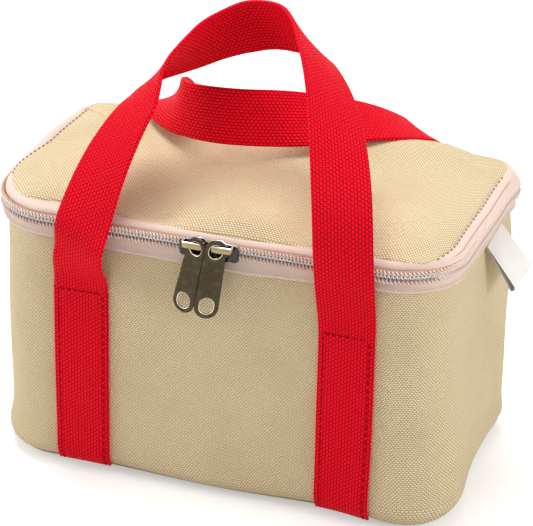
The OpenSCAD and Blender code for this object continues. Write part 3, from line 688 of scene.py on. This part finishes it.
# ---- Lid ----------------------------------------------------------------------------
# A canvas cushion over thin foam, sewn inside the rolled tape with a row of stitches.
# The canvas swells up from its edge and has soft hollows where it isn't filled.
lid_hollows = [
    # x, y, reach across x, reach across y, height
    (-30, -22, 12, 32, -4.2),
    (-27, -48, 10, 9, -1.4),
    (36, -28, 8, 24, -2.8),
    (12, -40, 20, 13, 2.4),
    (76, -18, 20, 24, 1.8),
    (60, -38, 9, 10, -1.6),
    (-70, -8, 20, 26, 1.0),
    (88, -46, 7, 7, -2.0),
    (46, 42, 30, 14, 4.2),
    (70, 46, 13, 10, 2.6),
    (-40, 42, 30, 10, 1.4),
    (-58, -44, 12, 8, 1.2),
]
lid_shares = np.array([
    0, 0.008, 0.02, 0.035, 0.055, 0.08, 0.11, 0.15, 0.2, 0.26,
    0.32, 0.38, 0.45, 0.52, 0.6, 0.68, 0.76, 0.84, 0.92, 1.0,
])
lid_reach, lid_spine_y, lid_crown, lid_under = 48, 2.0, 5.4, 1.9


def lid_height(x, y, share, edge):
    """Height of the lid's canvas over the zip: a quick puff at its edge, a slow crown and its hollows."""
    crisp = 1 - 0.8 * bump_at(np.abs(x), 92, 16) * bump_at(y, 48, 16)
    puff = crisp * 2.4 * (1 - np.exp(-share * 14)) + 3.4 * (1 - (1 - share) ** 2.2)
    shape = sum(h * bump_at(x, cx, wx) * bump_at(y, cy, wy) for cx, cy, wx, wy, h in lid_hollows)
    crown = edge * (1 - share) ** 1.5 + lid_crown * (1 - (1 - share) ** 1.5)
    return crown + puff + shape * np.clip(share / 0.1, 0, 1)


rim_x, rim_y, rim_nx, rim_ny = round_bag(ring_run, zip_out - edge_in + 0.2)
rim, rim_out = np.stack([rim_x, rim_y], -1), np.stack([rim_nx, rim_ny], -1)
shoulder = 0.9 * bump_at(lid_shares, 0.03, 0.03)
lid_places = drawn_in(rim, lid_reach, lid_shares, lid_spine_y) + rim_out[:, None] * shoulder[None, :, None]
lid_rise = lid_height(lid_places[..., 0], lid_places[..., 1], lid_shares, edge_up[:, None] - 0.25)
lid_top = at_height(lid_places, zip_z + lid_rise)
under_places = drawn_in(rim - rim_out * 0.6, lid_reach, np.array([1.0, 0.7, 0.3, 0.0]), lid_spine_y)
lid_points = np.concatenate([at_height(under_places, zip_z + lid_under), lid_top], 1)
lid_cushion = cloth("lid_cushion", lid_points, lid_points[..., :2])
dressed(lid_cushion, canvas)
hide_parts("lid_canvas", "lid_foam")
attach(lid_cushion, "lid")

# Dark brown dashes along the lid's seam: painted shade for the needle holes.
needle_hole_shade = yarn_finish("needle holes painted shade", ink(176, 134, 92), ink(112, 78, 46))
seam_stitch, seam_thread_r = 1.3, 0.22
seam_x, seam_y, _, _ = round_bag(ring_run, zip_out - edge_in + 1.0)
seam_line = np.stack([seam_x, seam_y, zip_z + edge_up + 0.25], -1)
seam_starts = (*np.arange(2, 72, 3.1), *np.arange(276, wall_run - 4, 3.4))
seam_threads = []
for start in seam_starts:
    places = start + np.linspace(0, seam_stitch, 4)
    seam_threads.append(np.stack([np.interp(places, ring_run, seam_line[:, k]) for k in range(3)], -1))
lid_seam = tubes("lid_seam", seam_threads, seam_thread_r, 5)
dressed(lid_seam, needle_hole_shade)
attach(lid_seam, "lid")


# ---- Lid lining ---------------------------------------------------------------------
# The same silvery film under the lid's foam, a little slack, with its edge bound in a
# narrow folded tape all round.
lid_lining_rim = np.stack(round_bag(ring_run, -3.6)[:2], -1)
lid_lining_shares = np.linspace(0, 1, 16)
lid_lining_places = drawn_in(lid_lining_rim, lid_reach, lid_lining_shares)
ripple = 0.25 * np.sin(lid_lining_places[..., 0] / 6.0) * np.sin(lid_lining_places[..., 1] / 5.0)
lid_lining_z = zip_z + 1.4 + ripple * np.clip(lid_lining_shares * 6, 0, 1)
lid_lining_points = at_height(lid_lining_places, lid_lining_z)[:, ::-1]
lid_lining = cloth("lid_silver_lining", lid_lining_points, lid_lining_points[..., :2])
dressed(lid_lining, foil)
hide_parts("lid_lining")
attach(lid_lining, "lid")

lid_tape_line = rounded_line([(-1.9, 0.9), (-6.1, 0.75), (-6.9, 1.0), (-6.1, 1.3), (-1.9, 1.6)], 0.5)
lid_tape = swept("lid_tape", ring_run, lid_tape_line)
dressed(lid_tape, tape)
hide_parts("lid_binding")
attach(lid_tape, "lid")


# ---- Back fold ----------------------------------------------------------------------
# A strip of canvas from the back wall up to the lid, on which the lid opens. It is sewn
# down at both edges and bends between them.
fold_x = np.linspace(-82.5, 82.5, 84)
fold_line = np.array([
    (51.9, 106.0), (52.2, 109), (52.6, 112), (52.9, 114.5), (53.1, 116.2), (53.15, 117), (53.1, 118),
    (52.8, 120.5), (52.2, 122.4), (51.2, 123.3), (50.6, 122.2), (51.8, 119), (52.2, 117), (52.0, 114),
    (51.7, 111), (51.2, 106.0),
])
x, point = grid(fold_x, np.arange(len(fold_line)))
fold_points = np.stack([x, fold_line[point, 0], fold_line[point, 1]], -1)
back_fold = cloth("back_fold", fold_points, np.stack([x, along_section(fold_line)[point]], -1))
dressed(back_fold, canvas)
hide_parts("back_fold_lower", "back_fold_upper")
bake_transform(back_fold)


# ---- Label --------------------------------------------------------------------------
# A strip of white cloth folded in half, with both ends caught under the lower tape of the
# right-hand wall. It is blank.
label_finish = Finish("label cloth")
label_flat = label_finish.flat()
label_weave = label_finish.node("ShaderNodeTexChecker", {}, {"Vector": label_flat, "Scale": 3200.0}, "Fac")
label_cloud = label_finish.noise(label_flat, 70.0, 3.0).between(0.35, 0.75) * 0.5
label_cloth = label_finish.show("BsdfPrincipled", {
    "Base Color": label_finish.mixed(label_cloud, ink(236, 232, 226), ink(222, 214, 202)),
    "Roughness": 0.7,
    "Normal": label_finish.bump(0.15, 0.08, label_weave),
    "Sheen Weight": 0.2,
})
label_w, label_len, label_turn, label_lean = 24.0, 22.0, 1.4, math.radians(36)
label_root = (99.3, 18.0, 106.8)
# Out along the outer half, round the fold and back along the inner half: way out, height off the middle
outer_half = [(d, 0.55 + 1.1 * (d / label_len) ** 1.2) for d in np.linspace(0, label_len - label_turn, 12)]
folded_end = [
    (label_len - label_turn + label_turn * math.sin(a), 0.25 + label_turn * math.cos(a))
    for a in np.radians(np.linspace(10, 170, 8))
]
inner_half = [(d, -0.95 * (d / label_len)) for d in np.linspace(label_len - 1.6, 0, 12)]
label_line = np.array(outer_half + folded_end + inner_half)
across, point = grid(np.linspace(-label_w / 2, label_w / 2, 14), np.arange(len(label_line)))
way, off = label_line[point, 0], label_line[point, 1]
off = off + 0.9 * np.sin(across / label_w * math.pi + 0.5) * (way / label_len) ** 2
label_points = np.stack([
    label_root[0] + way * math.sin(label_lean) + off * math.cos(label_lean),
    label_root[1] + across,
    label_root[2] - way * math.cos(label_lean) + off * math.sin(label_lean),
], -1)
label = cloth("folded_label", label_points, np.stack([across, along_section(label_line)[point]], -1))
dressed(label, label_cloth)
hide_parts("side_label")
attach(label, "bag")


# ---- Webbing legs -------------------------------------------------------------------
# Heavy red cotton webbing, one length for each handle. Its legs are sewn down the walls
# from a row of cross stitches to the base seam, with a line of stitches along each edge.
def webbing_finish():
    """Thick cotton yarns in rows, with painted shade in deep red between them, and fuzzy on top."""
    finish = Finish("red webbing")
    flat, over = weave(finish, 1.35 * mm, 1.85 * mm, stacked="X", going="Y")
    fuzz = finish.noise(flat, 1500.0, 3.0)
    cloud = finish.noise(flat, 30.0, 3.0)
    crown = over.maths("POWER", 0.5)
    # The deep red ink(114, 0, 6) is painted shade in the gaps between the yarns.
    colour = finish.mixed(crown.between(0.04, 0.74), ink(114, 0, 6), ink(255, 2, 36))
    colour = finish.mixed(fuzz.between(0.5, 0.8) * 0.25, colour, ink(248, 34, 42))
    colour = finish.mixed(cloud.between(0.4, 0.75) * 0.12, colour, ink(200, 2, 18))
    bump = finish.bump(0.9, 0.5, crown + fuzz * 0.12)
    sockets = {"Base Color": colour, "Roughness": 0.55, "Normal": bump}
    return finish.show("BsdfPrincipled", {**sockets, "Specular IOR Level": 0.08})


def stitch(way, low, rise):
    """How far along a stitch each of its points is, and how far it stands off the webbing."""
    far = np.linspace(0, way, 5)
    return far, strap_gap + strap_t + low + rise * np.sin(far / way * math.pi)


red_webbing = webbing_finish()
red_thread = yarn_finish("red thread", ink(176, 2, 22), ink(120, 0, 12))
strap_t, strap_gap, strap_x, stitch_z = 1.8, 0.3, 58.0, 87.5
sewn_at, thread_r, row_shift = 9.6, 0.24, 0.52
# The webbing's section: its face, one rounded edge, its back and the other edge, as (across, out)
web_face = np.stack([np.linspace(-11.3, 11.3, 17), np.full(17, strap_t / 2)], -1)
web_edge = np.array([(11.75, 0.66), (12.0, 0.25), (12.0, -0.25), (11.75, -0.66)])
web_back, web_other_edge = web_face[::-1] * (1, -1), web_edge[::-1] * (-1, 1)
web_line = np.concatenate([web_face, web_edge, web_back, web_other_edge, web_face[:1]])
# The middle of each leg, as a run round the bag
front_middle, back_middle = side_run + front_arc + front_run / 2, wall_run + back_arc + back_run / 2
leg_places = [
    ("front_leg_left", "front_strap_left", front_middle - strap_x + 0.5, 1),
    ("front_leg_right", "front_strap_right", front_middle + strap_x, 1),
    ("back_leg_left", "back_strap_left", back_middle + strap_x, -1),
    ("back_leg_right", "back_strap_right", back_middle - strap_x, -1),
]
stitch_down = wall_top - stitch_z
leg_down = np.concatenate([np.linspace(stitch_down, 99, 46), roll_down + roll_r * np.linspace(0, 0.56, 12)])

for name, node, middle, flip in leg_places:
    d, across = grid(leg_down, web_line[:, 0])
    off = web_line[None, :, 1]
    bite = 0.3 * bump_at(np.abs(across), sewn_at, 0.9) * (off > 0) + 0.25 * np.exp(-(leg_down[-1] - d) / 3)
    leg_points = wall_points(middle + flip * across, d, strap_gap + strap_t / 2 + off - bite)
    leg = cloth(name, leg_points, np.stack([across + row_shift, -d], -1))
    dressed(leg, red_webbing)
    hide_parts(node)
    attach(leg, "bag")
    stitches = []
    far, off = stitch(2.3, -0.38, 0.16)
    for edge in (-sewn_at, sewn_at):
        for start in np.arange(stitch_down + 2.0, 108, 3.4):
            stitches.append(wall_points(middle + flip * edge, start + far, off))
    far, off = stitch(2.2, -0.05, 0.22)
    for start in np.arange(-9.2, 8.0, 3.0):
        stitches.append(wall_points(middle + flip * (start + far), stitch_down + 0.6, off))
    sewing = tubes(name + "_stitches", stitches, thread_r)
    dressed(sewing, red_thread)
    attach(sewing, "bag")


# ---- Handles ------------------------------------------------------------------------
# The free webbing above the cross stitches, one length for each handle. The front one stands
# and turns over at its top. The back one has fallen across the lid.
# Each half is rolled out from its stitches, as spans of (length, bend across it, twist along it)
front_left = [(11, 35, 6), (11, -28, 13), (12, -33, -14), (56, -33, 35), (40, -15, 68), (22, -53, 21)]
front_right = [(12, 20, 6), (21, -10, 7), (34, -55, 12), (71, -33, 48), (22, -28, 28), (20, -45, 6)]
back_left = [(14, 21, 0), (12, -10, 5), (18, -58, 13), (10, -18, 17), (29, -20, 58), (10, -28, 16)]
back_right = [(23, 26, 9), (10, -6, 21), (14, -80, 26), (34, -18, 29), (40, 3, 46), (34, -69, 10)]
# How far the left half stands off to the right: length from the stitches, way off
front_sway = [
    (0, 0.5), (10, 1.3), (22, 2.6), (34, 2.2), (56, 1.9), (76, 1.6), (88, 1.2), (98, -0.8), (104, -2.4),
    (112, -2.2), (119, -0.6), (126, 0.8), (133, 2.0), (142, 2.8), (152, 1.2),
]
back_sway = [(0, 0), (113, 0)]
stitch_y, roll_step = 52.7, 1.4


def turned(v, spin):
    """A direction turned about the axis of a spin, by its length in radians."""
    angle = np.linalg.norm(spin)
    if angle < 1e-9:
        return v
    axis = spin / angle
    kept = axis * (axis @ v)
    return kept + (v - kept) * math.cos(angle) + np.cross(axis, v) * math.sin(angle)


def rolled_out(spans, side, face):
    """The places and width directions of half a handle, from its stitches to its middle."""
    place = np.array([strap_x, -stitch_y, stitch_z])
    ahead, width = np.array([0, 0, 1.0]), np.array([1.0, 0, 0])
    places, widths = [place], [width]
    for length, bend, twist in spans:
        steps = max(8, int(length / roll_step))
        for _ in range(steps):
            spin = (width * math.radians(bend) + ahead * math.radians(twist)) / steps
            ahead, width = turned(ahead, spin / 2), turned(width, spin / 2)
            place = place + ahead * length / steps
            spin = (width * math.radians(bend) + ahead * math.radians(twist)) / steps
            ahead, width = turned(ahead, spin / 2), turned(width, spin / 2)
            places.append(place)
            widths.append(width)
    flip = np.array([side, -face, 1.0])
    return np.array(places) * flip, np.array(widths) * flip


def handle(name, left_spans, right_spans, sway, face, body):
    """Two halves drawn together at the middle, smoothed, and dressed as one strip."""
    left, left_w = rolled_out(left_spans, -1, face)
    right, right_w = rolled_out(right_spans, 1, face)
    middle, middle_w = (left[-1] + right[-1]) / 2, (left_w[-1] + right_w[-1]) / 2
    halves = []
    for places, widths in ((left, left_w), (right, right_w)):
        share = (np.arange(len(places)) / (len(places) - 1))[:, None] ** 2
        halves.append((places + (middle - places[-1]) * share, widths + (middle_w - widths[-1]) * share))
    left_far = np.linspace(0, sum(length for length, _, _ in left_spans), len(left))
    halves[0][0][:, 0] += np.interp(left_far, *np.array(sway, float).T)
    places, widths = (np.concatenate([halves[0][k], halves[1][k][-2::-1]]) for k in (0, 1))
    smooth = np.hanning(9)[1:-1]
    smooth /= smooth.sum()
    for line in (places, widths):
        line[3:-3] = np.stack([np.convolve(line[:, k], smooth, "valid") for k in range(3)], -1)
    lengths = np.concatenate([[0], np.cumsum(np.linalg.norm(np.diff(places, axis=0), axis=1))])
    ahead = np.gradient(places, axis=0)
    ahead[0], ahead[-1] = (0, 0, 1), (0, 0, -1)
    ahead /= np.linalg.norm(ahead, axis=1)[:, None]
    across = widths - ahead * np.sum(ahead * widths, 1)[:, None]
    across /= np.linalg.norm(across, axis=1)[:, None]
    out = np.cross(ahead, across)
    points = places[:, None] + across[:, None] * web_line[:, :1] + out[:, None] * web_line[:, 1:]
    cut = np.stack(np.broadcast_arrays(web_line[None, :, 0] + row_shift, lengths[:, None]), -1)
    piece = dressed(cloth(name, points, cut), red_webbing)
    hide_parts(body)
    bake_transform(piece)


handle("front_handle_webbing", front_left, front_right, front_sway, -1, "front_handle")
handle("back_handle_webbing", back_left, back_right, back_sway, 1, "back_handle")


# ---- Sliders and pulls --------------------------------------------------------------
# Cast zip sliders with an antique finish. Each has a domed body and a loop across it, both
# with a painted highlight where they face up, and a long flat pull hung on the loop, with
# bright rims round its two openings.
def metal_finish(name, dark, bright, rough, painted_top_highlight=None):
    """Cast metal, brushed and cloudy. What faces up may get a painted highlight, lighter as if lit from
    above.
    """
    finish = Finish(name)
    place = finish.place()
    stretched = finish.node("ShaderNodeMapping", {}, {"Vector": place, "Scale": (1, 1, 0.08)})
    brushed = finish.noise(stretched, 3800.0, 3.0)
    cloud = finish.noise(place, 320.0, 4.0, 0.6)
    worn = (cloud.between(0.45, 0.8) * 0.5 + brushed.between(0.5, 0.8) * 0.25).limited()
    colour = finish.mixed(worn, dark, bright)
    if painted_top_highlight:
        # Painted highlight: the colour turns lighter where the surface faces up, as if lit from above.
        up = finish.part(finish.node("ShaderNodeNewGeometry", {}, {}, "Normal"), "Z")
        colour = finish.mixed(up.between(0.15, 0.85), colour, painted_top_highlight)
    bump = finish.bump(0.15, 0.05, brushed + cloud)
    sockets = {"Base Color": colour, "Metallic": 1.0, "Roughness": brushed * 0.2 + rough, "Normal": bump}
    return finish.show("BsdfPrincipled", sockets)


# The slider's and the loop's last colours are painted highlights on what faces up.
gunmetal = metal_finish("antique slider", ink(58, 56, 58), ink(96, 94, 98), 0.16, ink(206, 206, 212))
loop_metal = metal_finish("loop painted highlight", ink(150, 136, 96), ink(196, 184, 148), 0.12, ink(255, 252, 240))
bronze = metal_finish("antique pull", ink(66, 58, 44), ink(98, 88, 72), 0.3)
# The rims round the pull's openings are a lighter metal than the pull.
rim_metal = metal_finish("bright rim", ink(214, 206, 182), ink(246, 240, 222), 0.15)
rim_w = 0.45

slider_x, slider_y, slider_t, slider_soft = 6.4, -55.75, 1.3, 0.4
# The left slider's body is a shield, wide where the two sliders meet. Half of it, as (across, up)
shield_half = [(6.1, 0), (5.9, 3.2), (4.6, 5.0), (1.2, 5.2), (-1.5, 3.9), (-5.2, 3.9), (-6.2, 3.0)]
shield = [(x, -z) for x, z in shield_half[:0:-1]] + shield_half
dome_place, dome_size = (4.9, -55.6, 117.6), (4.3, 2.0, 4.4)
loop_x, loop_z, loop_r, loop_tall = 7.1, 119.4, 0.62, 2.5
loop_line = rounded_line([(-5.4, -56.4), (-5.4, -59.5), (3.4, -59.5), (3.4, -56.4)], 1.6, 6)

pull_y, pull_z, pull_t, pull_soft = -59.3, 119.2, 1.0, 0.3
pull_end_w, eye_w, window_w = 10.0, 5.2, 5.7
pulls = {
    # turn about the upright, lean to a side, place across, width at the top, height of the window
    "left": (-14, 13.5, -4.1, 8.2, -26.4),
    "right": (20, 8.5, 4.2, 8.6, -25.4),
}


def arc_line(height, r, first, last, steps=14):
    """Points round an arc about a place on the pull's middle line, between two headings in degrees."""
    angle = np.radians(np.linspace(first, last, steps))
    return [(r * math.cos(a), height + r * math.sin(a)) for a in angle]


def casting(name, outlines, thick, soften):
    """A flat casting with rounded edges: its outline, then its openings, in millimetres."""
    curve = bpy.data.curves.new(name, "CURVE")
    curve.dimensions, curve.fill_mode = "2D", "BOTH"
    curve.extrude, curve.bevel_depth, curve.bevel_resolution = (thick / 2 - soften) * mm, soften * mm, 2
    curve.offset = -soften * mm
    for outline in outlines:
        spline = curve.splines.new("POLY")
        spline.points.add(len(outline) - 1)
        for point, (x, z) in zip(spline.points, outline):
            point.co = (x * mm, z * mm, 0, 1)
        spline.use_cyclic_u = True
    shape = bpy.data.objects.new(name, curve)
    mesh = bpy.data.meshes.new_from_object(shape)
    bpy.data.objects.remove(shape)
    return in_scene(name, mesh)


upright = Matrix.Rotation(math.pi / 2, 4, "X")
for side, name in ((-1, "left"), (1, "right")):
    turn, lean, pull_x, top_w, window_z = pulls[name]
    outer = [(-top_w / 2, 1.6), (-top_w / 2 + 2, 3.8), (top_w / 2 - 2, 3.8), (top_w / 2, 1.6)]
    outer += arc_line(window_z - 0.7, pull_end_w / 2, 0, -180)
    openings = ((-0.8, 0.4, eye_w / 2), (window_z, 0.7, window_w / 2))
    holes = [arc_line(at + half, r, 0, 180) + arc_line(at - half, r, 180, 360) for at, half, r in openings]
    pull = casting(name + "_pull_tab", [outer, *holes], pull_t, pull_soft)
    dressed(pull, bronze)
    pull.data.materials.append(rim_metal)
    for face in pull.data.polygons:
        x, z = face.center.x / mm, face.center.y / mm
        ways = [math.hypot(x, z - min(max(z, at - half), at + half)) - r for at, half, r in openings]
        edge = abs(face.normal.z) < 0.98
        face.material_index = 1 if edge and min(ways) < rim_w else 0
        face.use_smooth = edge
    aimed = Matrix.Rotation(math.radians(turn), 4, "Z") @ Matrix.Rotation(math.radians(lean), 4, "Y")
    pull.data.transform(Matrix.Translation(Vector((pull_x, pull_y, pull_z)) * mm) @ aimed @ upright)
    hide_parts(name + "_pull")
    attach(pull, name + "_pull")

    outline = shield if side < 0 else [(-x, z) for x, z in reversed(shield)]
    body = casting(name + "_slider_body", [outline], slider_t, slider_soft)
    body.data.transform(Matrix.Translation(Vector((side * slider_x, slider_y, zip_z)) * mm) @ upright)
    body.data.shade_smooth()
    dressed(body, gunmetal)
    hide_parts(name + "_slider")
    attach(body, name + "_slider")

    ring, rise = grid(np.radians(np.linspace(0, 360, 33)), np.radians(np.linspace(0, 90, 9)))
    dome_points = np.stack([
        side * dome_place[0] + dome_size[0] * np.cos(ring) * np.cos(rise),
        dome_place[1] - dome_size[1] * np.sin(rise),
        dome_place[2] + dome_size[2] * np.sin(ring) * np.cos(rise),
    ], -1)
    dome = cloth(name + "_slider_dome", dome_points, dome_points[..., ::2])
    dressed(dome, gunmetal)
    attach(dome, name + "_slider")

    across, out = loop_line.T
    loop_points = tube(np.stack([side * (loop_x + across), out, np.full(len(out), loop_z)], -1), loop_r, 12)
    loop_points[..., 2] = loop_z + (loop_points[..., 2] - loop_z) * loop_tall
    loop = cloth(name + "_loop", loop_points, loop_points[..., ::2])
    dressed(loop, loop_metal)
    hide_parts(name + "_bail")
    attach(loop, name + "_slider")
